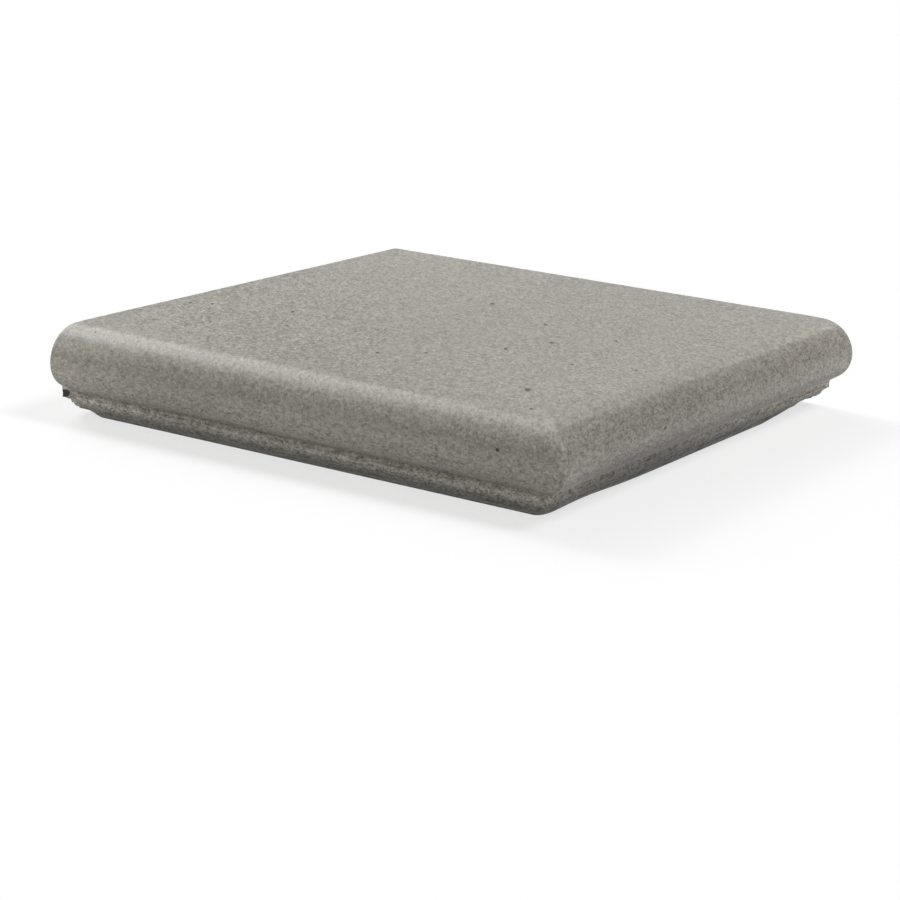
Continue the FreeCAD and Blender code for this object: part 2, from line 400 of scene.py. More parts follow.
@dataclass
class ClinkerTread:
    """The whole fired piece as one closed surface with its relief.

    The section is carried round the plan, the top is a grid that ends on the section's
    first row, and the cut sides, the bed and its key grooves close the piece. The
    corner widths, in millimetres, round the mitre at the ends of the first stretches.
    """

    section: NoseSection = field(default_factory=NoseSection)
    plan: TreadPlan = field(default_factory=TreadPlan)
    relief: ReliefSizes = field(default_factory=ReliefSizes)
    back_corner: float = 2.5 * MM
    top_arris: float = 1.5 * MM
    nose_arris: float = 0.9 * MM
    key_mouth: float = 12 * MM
    key_root: float = 15 * MM
    key_depth: float = 3 * MM
    key_pitch: float = 25 * MM
    key_count: int = 11
    key_margin: float = 18 * MM
    key_end: float = 113 * MM
    corner_widths: tuple[float, ...] = (0.0, 1.5, 3.6, 3.8, 5.0, 7.0, 12.0, 17.0, 17.0)
    foot_turn: Span = (1.15, 0.50)
    corner_rows: int = 7
    sharp_angle: float = math.radians(52)

    def __post_init__(self) -> None:
        """Draw the section once, with its lengths and outward directions."""
        self.outline, self.ends = self.section.outline()
        steps = np.diff(self.outline, axis=0)
        along = np.concatenate([[0.0], np.cumsum(np.hypot(steps[:, 0], steps[:, 1]))])
        tangent = np.gradient(self.outline, along, axis=0)
        tangent /= np.linalg.norm(tangent, axis=1, keepdims=True)
        self.along = along
        self.outward = np.stack([tangent[:, 1], -tangent[:, 0]], axis=1)
        self.stretch = np.array([along[end] for end in self.ends])

    def turn_widths(self) -> tuple[Array, Array]:
        """Give the rounding's reach on the right run and on the front run, for each row.

        Formula: both are the corner's rounding on the nose, where it is slight. From the
        drip groove to the foot's lower edge they change to their own shares of it.

        Returns:
            The two reaches, one a row.
        """
        widths = np.array(self.corner_widths) * MM
        width = np.interp(self.along, self.stretch[:len(widths)], widths)
        share = np.interp(self.along, self.stretch[[Stretch.FLAT, Stretch.FOOT]], RISE)
        right, front = (width * (1.0 + (turn - 1.0) * share) for turn in self.foot_turn)
        return right[:, None], front[:, None]

    def arris(self, distance: Array, radius: Array) -> Array:
        """Give a quarter round's fall at a distance from the cut side.

        Formula: r minus the square root of r squared minus (r - distance) squared.
        """
        gap = np.clip(radius - distance, 0.0, radius)
        return radius - np.sqrt(np.maximum(radius**2 - gap**2, 0.0))

    def roll(self, past_shoulder: Array) -> Array:
        """Let the surface fall a little earlier than the round: a bell round the shoulder."""
        sizes = self.relief
        offset = (past_shoulder - sizes.shoulder_past) / sizes.shoulder_spread
        return sizes.shoulder_roll * np.exp(-(offset**2))

    def fine_relief(self, places: Array, amount: Array) -> Array:
        """Add up swells, ripples and the skin's own unevenness, always inwards.

        Args:
            places: The surface's points.
            amount: Depth of the finest layer, one a point.

        Returns:
            Depths in metres, one a point.
        """
        sizes = self.relief
        swell = sizes.swells.at(places) * sizes.swell
        ripple = sizes.ripples.at(places) * sizes.ripple
        return swell + ripple + sizes.grits.at(places) * amount

    def skin_grid(self) -> Array:
        """Carry the section round the plan and sink its relief.

        Formula: on a row of setback o the plan is the L at that setback. A station at
        distance d from the mitre lies at (half - o - ramp(-d), o - half + ramp(d)), where
        the ramp rounds the corner. Relief moves it against the outward direction.

        Returns:
            Points with the section along the first axis and the run along the second.
        """
        setback, height = self.outline.T[..., None]
        runs = self.plan.stations(2 * self.plan.half - setback[:, 0])
        distance = np.concatenate([-runs[:, :0:-1], runs], axis=1)
        grid = Carried(setback, height, distance, runs[:, -1:])
        right, front = self.turn_widths()
        safe_right, safe_front = np.maximum(right, TINY), np.maximum(front, TINY)
        fill = np.maximum(self.filled(grid), self.smeared(grid))
        x = self.plan.half - setback - self.plan.turn(-distance, right)
        y = setback - self.plan.half + self.plan.turn(distance, front)
        x = x + fill * np.clip(1.0 + distance / safe_front, 0.0, 1.0)
        y = y - fill * np.clip(1.0 - distance / safe_right, 0.0, 1.0)
        points = np.stack([x, y, np.broadcast_to(height, x.shape)], axis=-1)
        outwards_x = np.clip(0.5 + distance / (2 * safe_front), 0.0, 1.0)
        outwards_y = np.clip(0.5 - distance / (2 * safe_right), 0.0, 1.0)
        aside = np.stack([outwards_x, -outwards_y, np.zeros_like(x)], axis=-1)
        aside /= np.linalg.norm(aside, axis=-1, keepdims=True)
        outward = -self.outward[:, :1, None] * aside
        outward = outward + self.outward[:, 1:, None] * np.array([0.0, 0.0, 1.0])
        sunk = points - outward * self.skin_depth(points, grid)[..., None]
        sunk[..., 2] += self.foot_wear(grid)
        return sunk

    def between(self, first: Stretch, last: Stretch) -> Array:
        """Mark the section's rows between the ends of two stretches."""
        rows = np.arange(len(self.outline))[:, None]
        return (rows > self.ends[first]) & (rows < self.ends[last])

    def filled(self, grid: Carried) -> Array:
        """Work out how far the drip groove is smeared full of clay.

        Formula: the share stated for the distance from the mitre, times how deep a row of
        the groove lies. The rows outside the groove get nothing.

        Args:
            grid: Where the points lie.

        Returns:
            The way outwards in metres, shaped as the grid.
        """
        places, shares = np.array(self.relief.drip_fill).T
        groove = self.between(Stretch.FLAT, Stretch.DRIP)
        deep = np.where(groove, grid.setback - self.section.drip_setback, 0.0)
        return np.interp(grid.distance, places, shares) * deep

    def smeared(self, grid: Carried) -> Array:
        """Work out how far clay is smeared outwards below the nose at the cut ends.

        Formula: from the underside to the foot a row deeper than the end's own setback
        is drawn out to it. This fades along the run by a smooth step, and with the
        height below the groove.

        Args:
            grid: Where the points lie.

        Returns:
            The way outwards in metres, shaped as the grid.
        """
        sizes = self.relief
        on_right = grid.distance >= 0.0
        kept = np.where(on_right, *sizes.smear_setbacks)
        reach = np.where(on_right, *sizes.smear_reaches)
        low, high = sizes.smear_heights
        upright = np.clip((grid.height - low) / (high - low), 0.0, 1.0)
        below = self.between(Stretch.LOWER, Stretch.FOOT)
        drawn = np.where(below, np.maximum(grid.setback - kept, 0.0), 0.0)
        return drawn * upright * smooth(1.0 - grid.to_end / reach)

    def foot_wear(self, grid: Carried) -> Array:
        """Work out how far the foot's lower edge is worn away upwards.

        Formula: at the front run's cut end the wear is full and fades by a smooth step,
        at the right run's cut end it grows towards the end but for its last bit, and past
        the mitre the right run has a slight bell. It fades with the height up to the drip
        groove.

        Args:
            grid: Where the points lie.

        Returns:
            The rise in metres, shaped as the grid.
        """
        sizes, to_end = self.relief, grid.to_end
        near, far = sizes.front_wear_zone
        front = sizes.front_wear * smooth((far - to_end) / (far - near))
        worn = np.clip(1.0 - to_end / sizes.right_wear_reach, 0.0, 1.0) ** sizes.right_wear_power
        kept = np.clip(1.0 - to_end / sizes.right_keep_reach, 0.0, 1.0)
        offset = (grid.distance - sizes.mitre_wear_middle) / sizes.mitre_wear_reach
        start = np.clip(grid.distance / sizes.mitre_wear_start, 0.0, 1.0)
        right = sizes.right_wear * worn - sizes.right_keep * kept
        right = right + sizes.mitre_wear * np.exp(-(offset**2)) * start
        share = np.clip(1.0 - grid.height / self.outline[self.ends[Stretch.DRIP], 1], 0.0, 1.0)
        return np.where(grid.distance < 0.0, front, right) * share

    def skin_depth(self, points: Array, grid: Carried) -> Array:
        """Work out how far the relief sinks each point of the carried section.

        Args:
            points: The section's points before the relief.
            grid: Where they lie.

        Returns:
            Depths in metres, shaped as the grid.
        """
        sizes, along = self.relief, self.along
        start, lead, upper, flat, drip, foot, bed = self.stretch[[
            Stretch.START, Stretch.LEAD, Stretch.UPPER, Stretch.FLAT, Stretch.DRIP,
            Stretch.FOOT, Stretch.BED,
        ]]
        skins = [sizes.skin, sizes.skin, sizes.nose_skin, sizes.under_skin]
        skin = np.interp(along, [start, lead, upper, flat], skins)[:, None]
        base = np.interp(along, [foot - sizes.base_fade, foot, bed], [1.0, 0.0, 0.0])[:, None]
        depth = self.fine_relief(points, skin * np.ones_like(grid.distance)) * base
        depth += self.roll(along - lead)[:, None] * (base > 0)
        strip = np.stack(np.broadcast_arrays(grid.distance, along[:, None], 0.0), axis=-1)
        before, after = sizes.foot_fades
        rough = np.interp(along, [flat - before, drip, foot - after, foot], [0, 1, 1, 0])
        least, more = sizes.foot_patches
        layers = sizes.foot_layers * sizes.layers.at(strip)
        crumbs = sizes.foot_crumbs * sizes.crumbs.at(strip) ** 2
        depth += rough[:, None] * (layers * (least + more * sizes.patches.at(strip)) + crumbs)
        depth += self.notch(points)
        arrises = [self.top_arris] * 2 + [self.nose_arris] * 2 + [0.0]
        radius = np.interp(along, [start, lead, upper, drip, foot], arrises)[:, None]
        return depth + self.arris(grid.to_end, radius + SLIVER)

    def notch(self, points: Array) -> Array:
        """Break the drip groove's end at the -X cut side: a bell round that place.

        Args:
            points: The section's points before the relief.

        Returns:
            Depths in metres, one a point.
        """
        half = self.plan.half
        place = np.array(self.relief.notch_place) - np.array([half, half, 0.0])
        apart = np.linalg.norm(points - place, axis=-1)
        return self.relief.notch_depth * np.exp(-((apart / self.relief.notch_reach) ** 2))

    def top_grid(self) -> Array:
        """Lay the top as a grid of the two runs' stations.

        Formula: x is the top's nosed edge less the station, and y the mirrored value. In
        the square where the cut sides meet, (a, b) goes to (a * sqrt(1 - b * b / 2),
        b * sqrt(1 - a * a / 2)), which bends the square's outer edges into a quarter
        round. The height falls with the relief and with the arris along the cut sides.

        Returns:
            Points with x along the first axis and y along the second.
        """
        lead, radius = self.section.top_lead, self.back_corner
        run = self.plan.stations(np.array([2 * self.plan.half - lead]))[0]
        left = (run[-1] - run)[:, None] * np.ones((1, len(run)))
        rear = left.T
        inside = (left < radius) & (rear < radius)
        a = np.clip(1 - left / radius, 0.0, 1.0)
        b = np.clip(1 - rear / radius, 0.0, 1.0)
        bent_a, bent_b = a * np.sqrt(1 - b * b / 2), b * np.sqrt(1 - a * a / 2)
        rounded = radius * (1 - np.hypot(bent_a, bent_b))
        to_edge = np.where(inside, rounded, np.minimum(left, rear))
        left = np.where(inside, radius * (1 - bent_a), left)
        rear = np.where(inside, radius * (1 - bent_b), rear)
        x, y = left - self.plan.half, self.plan.half - rear
        points = np.stack([x, y, np.full_like(x, self.section.height)], axis=-1)
        setback = np.minimum(self.plan.half - x, y + self.plan.half)
        depth = self.fine_relief(points, np.full_like(x, self.relief.skin))
        depth += self.roll(self.section.upper_radius - setback)
        depth += self.arris(np.maximum(to_edge, 0.0), np.full_like(x, self.top_arris) + SLIVER)
        points[..., 2] -= depth
        return points

    def key_rings(self) -> tuple[Array, Array]:
        """Give the key grooves' four corners at the -X cut side and at their blind ends.

        Returns:
            Two arrays of eleven rows, one a groove from +Y on, with the corners in the
            order near mouth, near root, far root, far mouth.
        """
        middle = self.plan.half - self.key_margin - self.key_pitch * np.arange(self.key_count)
        across = np.array([self.key_mouth, self.key_root, -self.key_root, -self.key_mouth]) / 2
        up = np.array([0.0, self.key_depth, self.key_depth, 0.0]) + self.section.bed_height
        y = middle[:, None] + across
        z = np.broadcast_to(up, y.shape)
        start = np.stack([np.full_like(y, -self.plan.half), y, z], axis=-1)
        end = np.stack([np.full_like(y, self.key_end), y, z], axis=-1)
        return start, end

    def corner_wall(self, edge: Array) -> Array:
        """Carry the cut sides' shared upright edge from the top down to the bed.

        Formula: each row is the edge with its height moved evenly towards the bed's.

        Args:
            edge: The top's points round that corner, one a row.

        Returns:
            Points with the rows downwards along the first axis, without the edge itself.
        """
        share = np.linspace(0.0, 1.0, self.corner_rows + 1)[1:, None]
        walls = np.repeat(edge[None], self.corner_rows, axis=0)
        walls[..., 2] = edge[:, 2] * (1 - share) + self.section.bed_height * share
        return walls

    def build(self, name: str) -> bpy.types.Object:
        """Join all the surfaces into one closed mesh.

        Args:
            name: The piece's name.

        Returns:
            The new object, at the origin.
        """
        skin, top = self.skin_grid(), self.top_grid()
        rows, columns = skin.shape[:2]
        stations = len(top)
        skin_index = np.arange(rows * columns).reshape(rows, columns)
        top_index = np.full((stations, stations), -1, dtype=np.int64)
        top_index[::-1, 0] = skin_index[0, :stations]
        top_index[0, :] = skin_index[0, stations - 1:]
        free = top_index < 0
        top_index[free] = rows * columns + np.arange(free.sum())
        points = np.concatenate([skin.reshape(-1, 3), top[free]])

        corner = stations - len(self.plan.end_zone)
        edge = np.concatenate([top_index[-1, corner:], top_index[-2:corner - 1:-1, -1]])
        walls = self.corner_wall(points[edge])
        wall_index = len(points) + np.arange(walls[..., 0].size).reshape(walls.shape[:2])
        wall_index = np.concatenate([edge[None], wall_index])
        points = np.concatenate([points, walls.reshape(-1, 3)])

        key_start, key_end = self.key_rings()
        near = len(points) + np.arange(key_start[..., 0].size).reshape(-1, 4)
        far = near + near.size
        points = np.concatenate([points, key_start.reshape(-1, 3), key_end.reshape(-1, 3)])

        left_rim = top_index[-1, corner - 1:0:-1]
        rear_rim = top_index[corner - 1:0:-1, -1]
        keys, mouths = near[::-1, ::-1], np.stack([near[:, 0], far[:, 0], far[:, 3], near[:, 3]], 1)
        left_cap = [skin_index[:, 0], keys.ravel(), wall_index[::-1, 0], left_rim]
        rear_cap = [skin_index[:, -1], wall_index[::-1, -1], rear_rim]
        bed = [skin_index[-1], wall_index[-1, ::-1], mouths.ravel()]
        rings = [np.concatenate(cap) for cap in (left_cap, rear_cap, bed)]
        smooth_quads = [quads_of(index) for index in (skin_index, top_index, wall_index)]
        sides = np.stack([near[:, :3], near[:, 1:], far[:, 1:], far[:, :3]], axis=-1)
        flat_quads = np.concatenate([sides.reshape(-1, 4), far])
        faces = MeshFaces(np.concatenate(smooth_quads), flat_quads, rings)
        return closed_mesh(name, points, faces, self.sharp_angle)

    def dress(self, piece: bpy.types.Object, material: bpy.types.Material) -> None:
        """Give the piece its finish and name what it stands for."""
        piece.data.materials.append(material)
        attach(piece, BODY)
        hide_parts(NODE)


@dataclass(frozen=True)
class MeshFaces:
    """The faces of a mesh as point numbers: quads shaded smooth or flat, and flat rings."""

    smooth: Indices
    flat: Indices
    rings: list[Indices]


def placed(name: str, data: bpy.types.ID) -> bpy.types.Object:
    """Add an object for a mesh, a light or a camera to the scene.

    Args:
        name: The object's name.
        data: What it shows.

    Returns:
        The new object, at the origin.
    """
    made = bpy.data.objects.new(name, data)
    bpy.context.scene.collection.objects.link(made)
    return made


def quads_of(index: Indices) -> Indices:
    """List the four corners of every cell of a grid of point numbers."""
    corners = [index[:-1, :-1], index[:-1, 1:], index[1:, 1:], index[1:, :-1]]
    return np.stack(corners, axis=-1).reshape(-1, 4)


def closed_mesh(
    name: str, points: Array, faces: MeshFaces, sharp_angle: float
) -> bpy.types.Object:
    """Put points and faces into a mesh whose faces point outwards.

    Args:
        name: The object's name.
        points: All points, one a row.
        faces: The faces, by the points' numbers.
        sharp_angle: Two faces that meet at more than this keep a sharp edge.

    Returns:
        The linked object, at the origin.
    """
    mesh = bpy.data.meshes.new(name)
    loops = np.concatenate([faces.smooth.ravel(), faces.flat.ravel(), *faces.rings])
    quads = np.full(len(faces.smooth) + len(faces.flat), 4)
    sizes = np.concatenate([quads, [len(ring) for ring in faces.rings]])
    mesh.vertices.add(len(points))
    mesh.vertices.foreach_set("co", points.astype(np.float32).ravel())
    mesh.loops.add(len(loops))
    mesh.loops.foreach_set("vertex_index", loops.astype(np.int32))
    mesh.polygons.add(len(sizes))
    mesh.polygons.foreach_set("loop_start", (np.cumsum(sizes) - sizes).astype(np.int32))
    mesh.polygons.foreach_set("use_smooth", np.arange(len(sizes)) < len(faces.smooth))
    mesh.update(calc_edges=True)
    mesh.validate()
    work = bmesh.new()
    work.from_mesh(mesh)
    bmesh.ops.remove_doubles(work, verts=work.verts, dist=MERGED)
    bmesh.ops.recalc_face_normals(work, faces=work.faces)
    open_edges = sum(1 for edge in work.edges if len(edge.link_faces) != 2)
    volume = work.calc_volume(signed=True)
    work.to_mesh(mesh)
    work.free()
    if volume < 0:
        mesh.flip_normals()
    mesh.set_sharp_from_angle(angle=sharp_angle)
    measures = (name, len(mesh.polygons), open_edges, abs(volume) / CUBIC_CM)
    log.info("%s: %d faces, %d open edges, %.1f cm3", *measures)
    return placed(name, mesh)


class Patterns:
    """The nodes of one material, added and joined step by step."""

    octave_share = 0.6
    mix_colours = (6, 7)
    mixed = 2

    def __init__(self, name: str) -> None:
        """Start a material with its principled shader and object coordinates.

        Args:
            name: The material's name.
        """
        self.material = bpy.data.materials.new(name)
        self.material.use_nodes = True
        self.tree = self.material.node_tree
        self.shader = self.tree.nodes["Principled BSDF"]
        self.place = self.node("ShaderNodeTexCoord").outputs["Object"]

    def node(self, kind: str, feeds: Feeds | None = None, **settings: object) -> bpy.types.Node:
        """Add a node, set its properties and feed its inputs.

        Args:
            kind: The node's type.
            feeds: What goes to its inputs, by their names or numbers.
            **settings: Its properties.

        Returns:
            The new node.
        """
        made = self.tree.nodes.new(kind)
        for setting, value in settings.items():
            setattr(made, setting, value)
        for target, value in (feeds or {}).items():
            self.feed(made.inputs[target], value)
        return made

    def feed(self, target: Socket, value: Value) -> None:
        """Link a socket to an input, or write a plain value on it.

        Args:
            target: The input.
            value: The socket or value that it gets.
        """
        if isinstance(value, bpy.types.NodeSocket):
            self.tree.links.new(value, target)
        else:
            target.default_value = value

    def join(self, step: Step, *values: Value) -> Socket:
        """Join two or more values by one arithmetic step, from the first on.

        Args:
            step: The arithmetic step.
            *values: The values.

        Returns:
            The result.
        """
        total = values[0]
        for value in values[1:]:
            made = self.node("ShaderNodeMath", {0: total, 1: value}, operation=step.value)
            total = made.outputs[0]
        return total

    def plus(self, *values: Value) -> Socket:
        """Add values up."""
        return self.join(Step.ADD, *values)

    def times(self, *values: Value) -> Socket:
        """Multiply values."""
        return self.join(Step.MULTIPLY, *values)

    def weighed(self, value: Socket, weight: float) -> Socket:
        """Centre a noise on zero and weigh it."""
        return self.times(self.join(Step.SUBTRACT, value, 0.5), weight)

    def held(self, tone: Socket, mask: Socket) -> Socket:
        """Let a tone count only as far as the mask says, and be one elsewhere."""
        return self.plus(self.times(self.join(Step.SUBTRACT, tone, 1.0), mask), 1.0)

    def noise(self, scale: float, place: Socket, detail: float = 2.0) -> Socket:
        """Give a noise from 0 to 1 whose grain is one over the scale, in metres."""
        feeds = {"Vector": place, "Scale": scale, "Detail": detail, "Roughness": self.octave_share}
        return self.node("ShaderNodeTexNoise", feeds).outputs["Fac"]

    def spread(self, value: Socket, span: Span, to: Span) -> Socket:
        """Map a span to another, held at its ends, with a smooth rise between.

        Args:
            value: The value that is mapped.
            span: Where the change starts and ends.
            to: The results there.

        Returns:
            The mapped value.
        """
        feeds = dict(zip(("From Min", "From Max", "To Min", "To Max"), (*span, *to)))
        feeds["Value"] = value
        made = self.node("ShaderNodeMapRange", feeds, interpolation_type="SMOOTHSTEP")
        return made.outputs["Result"]

    def ramp(self, value: Socket, stops: Stops) -> Socket:
        """Carry a value by smooth steps from stop to stop.

        Args:
            value: The value that is carried.
            stops: Pairs of a value and the result there.

        Returns:
            The result.
        """
        total: Socket | None = None
        for (low, start), (high, end) in zip(stops, stops[1:]):
            to = (start, end) if total is None else (0.0, end - start)
            part = self.spread(value, (low, high), to)
            total = part if total is None else self.plus(total, part)
        return total

    def blend(self, factor: Value, first: Value, second: Value, kind: str = "MIX") -> Socket:
        """Mix two colours by a factor."""
        feeds = {0: factor, **dict(zip(self.mix_colours, (first, second)))}
        made = self.node("ShaderNodeMix", feeds, data_type="RGBA", blend_type=kind)
        return made.outputs[self.mixed]

    def shaded(self, colour: Socket, tone: Socket) -> Socket:
        """Multiply a colour by a tone."""
        band = self.node("ShaderNodeCombineColor", {0: tone, 1: tone, 2: tone})
        return self.blend(1.0, colour, band.outputs[0], "MULTIPLY")

    def drawn_out(self, turn: float, squeezed: Sizes) -> Socket:
        """Turn the place round the vertical and squeeze it, so that patterns lie drawn out."""
        lie = self.node("ShaderNodeMapping", {"Vector": self.place, "Rotation": (0.0, 0.0, -turn)})
        feeds = {0: lie.outputs[0], 1: squeezed}
        return self.node("ShaderNodeVectorMath", feeds, operation="MULTIPLY").outputs[0]

    def cells(self, width: float, place: Socket) -> tuple[Socket, Socket]:
        """Split the place into cells of about this width.

        Args:
            width: A cell's width in metres.
            place: The coordinates.

        Returns:
            Each cell's own height from 0 to 1, and the way from its middle in widths.
        """
        feeds = {"Vector": place, "Scale": 1.0 / width}
        made = self.node("ShaderNodeTexVoronoi", feeds, feature="F1").outputs
        own = self.node("ShaderNodeSeparateColor", {0: made["Color"]}).outputs[0]
        return own, made["Distance"]

    def away(self, place: Socket, point: Vector) -> Socket:
        """Give the distance of a place from a point."""
        made = self.node("ShaderNodeVectorMath", {0: place, 1: point}, operation="DISTANCE")
        return made.outputs["Value"]


@dataclass(frozen=True)
class Pit:
    """A dark pit in the surface, or a spot of painted shade, with its place and width in
    millimetres.
    """

    x: float
    y: float
    z: float
    width: float


PITS_AND_NOTCH_SHADE = (
    Pit(107, -106, 53, 3.5), Pit(127, -164.6, 37, 2.0), Pit(-20.5, 59.5, 53, 3.0),
    Pit(33, 32, 53, 2.6), Pit(60, -5.5, 53, 2.3), Pit(49, -35.5, 53, 2.2),
    Pit(22.5, -73.5, 53, 1.9), Pit(3, -91, 53, 1.8), Pit(129, -138, 53, 2.0),
    Pit(-93, -40, 53, 2.0), Pit(-72.5, -71.5, 53, 1.6), Pit(-143, -152.1, 51.7, 1.5),
    Pit(-151, -61.5, 53, 2.0), Pit(-140, -55, 53, 1.8), Pit(84.5, 23.5, 53, 2.0),
    Pit(95.5, -42.5, 53, 1.8), Pit(128, -31, 53, 1.6), Pit(164.9, -64, 34.6, 1.8),
    # The last spot is painted shade: the dark end of the drip groove at the -X cut side.
    Pit(-163.0, -154.8, 14.0, 5.7),
)


@dataclass(frozen=True)
class ClayPlace:
    """Sockets that say where a point of the piece lies.

    The three axes and the level, a height with a ragged edge, are in millimetres. The
    past is x + y, which is zero on the mitre. The right is one on the right nose and
    zero elsewhere, and the lie is the drawn-out place in metres.
    """

    x: Socket
    y: Socket
    z: Socket
    level: Socket
    past: Socket
    right: Socket
    lie: Socket


@dataclass(frozen=True)
class ClinkerFinish:
    """Warm grey unglazed clinker: fine sandy grain, mottling and small dark pits.

    A tone from 0 to 1 runs from the dark to the light colour. It is the sum of grains
    and noises of several widths, each centred on zero and weighed. Painted shade and
    light lie over it: the painted bands are stops of (height, tone) and the painted runs
    are stops of (place along the face, tone). Their heights and places, and those of the
    fades, are in millimetres.
    """

    name: str = "fired_clinker"
    dark: Colour = (0.172, 0.157, 0.131, 1.0)
    light: Colour = (0.568, 0.538, 0.482, 1.0)
    pit: Colour = (0.060, 0.055, 0.048, 1.0)
    middle_tone: float = 0.5
    speck_width: float = 0.9 * MM
    grain_width: float = 1.6 * MM
    mottle_width: float = 3.0 * MM
    cloud_width: float = 45 * MM
    cloud_detail: float = 3.0
    speck_weight: float = 0.42
    grain_weight: float = 0.36
    mottle_weight: float = 0.70
    cloud_weight: float = 0.12
    gain_levels: Stops = (
        (12.6, 1.45), (15, 1.30), (23, 1.16), (28, 1.00), (33, 0.93), (44, 0.86),
        (50, 0.74), (52.4, 0.88), (53, 1.12),
    )
    nose_gain: float = 0.15
    nose_fade: Span = (49.6, 50.8)
    ragged_edge: float = 1.0
    ragged_scale: float = 420.0
    right_past: Span = (1, 5)
    right_start: Span = (135, 140)
    # Painted shade and light on the front by height: darker near the floor and at the groove,
    # lighter on the foot's ridge.
    painted_front_levels: Stops = (
        (2.9, 0.50), (6.3, 0.78), (8.4, 1.13), (10.4, 1.34), (12.2, 1.20), (12.8, 0.98),
        (13.6, 0.82), (14.6, 0.92), (15.6, 1.05), (18.2, 1.11), (20.5, 1.04), (22.2, 1.02),
        (23.7, 1.06), (27.6, 1.07), (30, 1.05), (34, 1.01), (40, 0.99), (53, 1.0),
    )
    # Painted shade and light on the right by ragged height: deep shade at the foot, a lighter band
    # above the shoulder's edge.
    painted_right_levels: Stops = (
        (3, 0.12), (6.3, 0.18), (8.2, 0.49), (10.2, 0.73), (13, 1.06), (15, 1.06),
        (18.2, 0.84), (20.5, 0.60), (23.3, 0.67), (25.1, 0.80), (27.7, 0.97), (31, 0.90),
        (35.4, 0.83), (40, 0.885), (43, 0.92), (48.6, 0.955), (49.6, 1.02), (50.4, 1.20),
        (50.9, 1.20), (51.6, 1.12), (52.6, 1.02), (53, 1.0),
    )
    # Painted light along the faces: the front lighter towards its left end, the right face lighter
    # towards its far end.
    painted_front_run: Stops = (
        (-155, 1.30), (-130, 1.18), (-95, 1.04), (-60, 1.0), (0, 0.98), (130, 0.93),
    )
    front_fade: Span = (44, 50)
    painted_right_run: Stops = (
        (-165, 0.97), (-120, 0.92), (-40, 0.90), (0, 0.95), (60, 1.0), (105, 1.05), (150, 1.15),
    )
    right_fade: Span = (51.5, 52.8)
    painted_right_foot_run: Stops = (
        (-155, 1.42), (-135, 1.22), (-112, 0.86), (-35, 0.82), (0, 1.00), (60, 1.14), (120, 1.26),
    )
    foot_fade: Span = (20, 34)
    # Painted light on the top: lighter towards the -X cut side.
    painted_top_run: Stops = ((-150, 1.13), (-60, 1.04), (20, 0.97), (150, 0.975))
    top_rise: Span = (51, 52.6)
    # Painted shade lines down the mitre, as (place past the mitre, reach, darkness): one over the
    # rounding's highlight, one just past it.
    painted_mitre_lines: tuple[Sizes, ...] = ((0.4, 3.0, 0.20), (4.5, 1.2, 0.20))
    mitre_core: float = 0.2
    mitre_rise: Span = (14, 18)
    mitre_fade: Span = (40, 48)
    lie_turn: float = math.radians(33)
    lie_squeeze: Sizes = (1.12, 0.56, 1.28)
    pit_share: float = 0.50
    pit_scale: float = 900.0
    pit_wobble: float = 0.5 * MM
    pit_edge: Span = (0.12 * MM, 0.62 * MM)
    pit_shade: Span = (0.95, 0.0)
    scatter_width: float = 10 * MM
    scatter_chosen: Span = (0.55, 1.0)
    scatter_size: Span = (0.0, 0.085)
    scatter_edge: Span = (0.0, 0.05)
    scatter_shade: Span = (0.0, 0.5)
    bump_depth: float = 0.055 * MM
    bump_strength: float = 0.6
    bump_grain: float = 0.35
    bump_speck: float = 0.20
    rough_mottle: Span = (0.3, 0.7)
    roughness: Span = (0.36, 0.47)
    sheen_levels: Stops = ((13, 0.10), (26, 0.12), (36, 0.50))

    def make(self) -> bpy.types.Material:
        """Build the material.

        Returns:
            The finished material.
        """
        board = Patterns(self.name)
        at = self.places(board)
        speck, _ = board.cells(self.speck_width, at.lie)
        grain, _ = board.cells(self.grain_width, at.lie)
        mottle = board.noise(1.0 / self.mottle_width, at.lie)
        cloud = board.noise(1.0 / self.cloud_width, board.place, self.cloud_detail)
        weights = (self.speck_weight, self.grain_weight, self.mottle_weight)
        sand = board.plus(*map(board.weighed, (speck, grain, mottle), weights))
        nose = board.times(at.right, board.spread(at.level, self.nose_fade, FALL))
        gain = board.ramp(at.z, self.gain_levels)
        gain = board.plus(gain, board.times(nose, self.nose_gain))
        cloud = board.weighed(cloud, self.cloud_weight)
        tone = board.plus(board.times(sand, gain), cloud, self.middle_tone)
        colour = board.blend(tone, self.dark, self.light)
        # Painted shade and light: the face bands and runs, and the dark lines down the mitre.
        tones = board.times(self.painted_face_tone(board, at), self.painted_mitre_shade(board, at))
        colour = self.pitted(board, board.shaded(colour, tones), at.lie)
        board.feed(board.shader.inputs["Base Color"], colour)
        rough = board.spread(mottle, self.rough_mottle, self.roughness)
        board.feed(board.shader.inputs["Roughness"], rough)
        sheen = board.ramp(at.z, self.sheen_levels)
        board.feed(board.shader.inputs["Specular IOR Level"], sheen)
        soft = board.noise(1.0 / self.grain_width, at.lie)
        grain = board.times(grain, self.bump_grain)
        height = board.plus(soft, grain, board.times(speck, self.bump_speck))
        self.raise_sand(board, board.times(height, gain))
        return board.material

    def places(self, board: Patterns) -> ClayPlace:
        """Work out where a point lies, from its object coordinates.

        Args:
            board: The material's nodes.

        Returns:
            The sockets that say so.
        """
        split = board.node("ShaderNodeSeparateXYZ", {0: board.place})
        x, y, z = (board.times(axis, 1.0 / MM) for axis in split.outputs)
        edge = board.weighed(board.noise(self.ragged_scale, board.place), self.ragged_edge)
        past = board.plus(x, y)
        right = board.spread(past, self.right_past, RISE)
        right = board.times(right, board.spread(x, self.right_start, RISE))
        lie = board.drawn_out(self.lie_turn, self.lie_squeeze)
        return ClayPlace(x, y, z, board.plus(z, edge), past, right, lie)

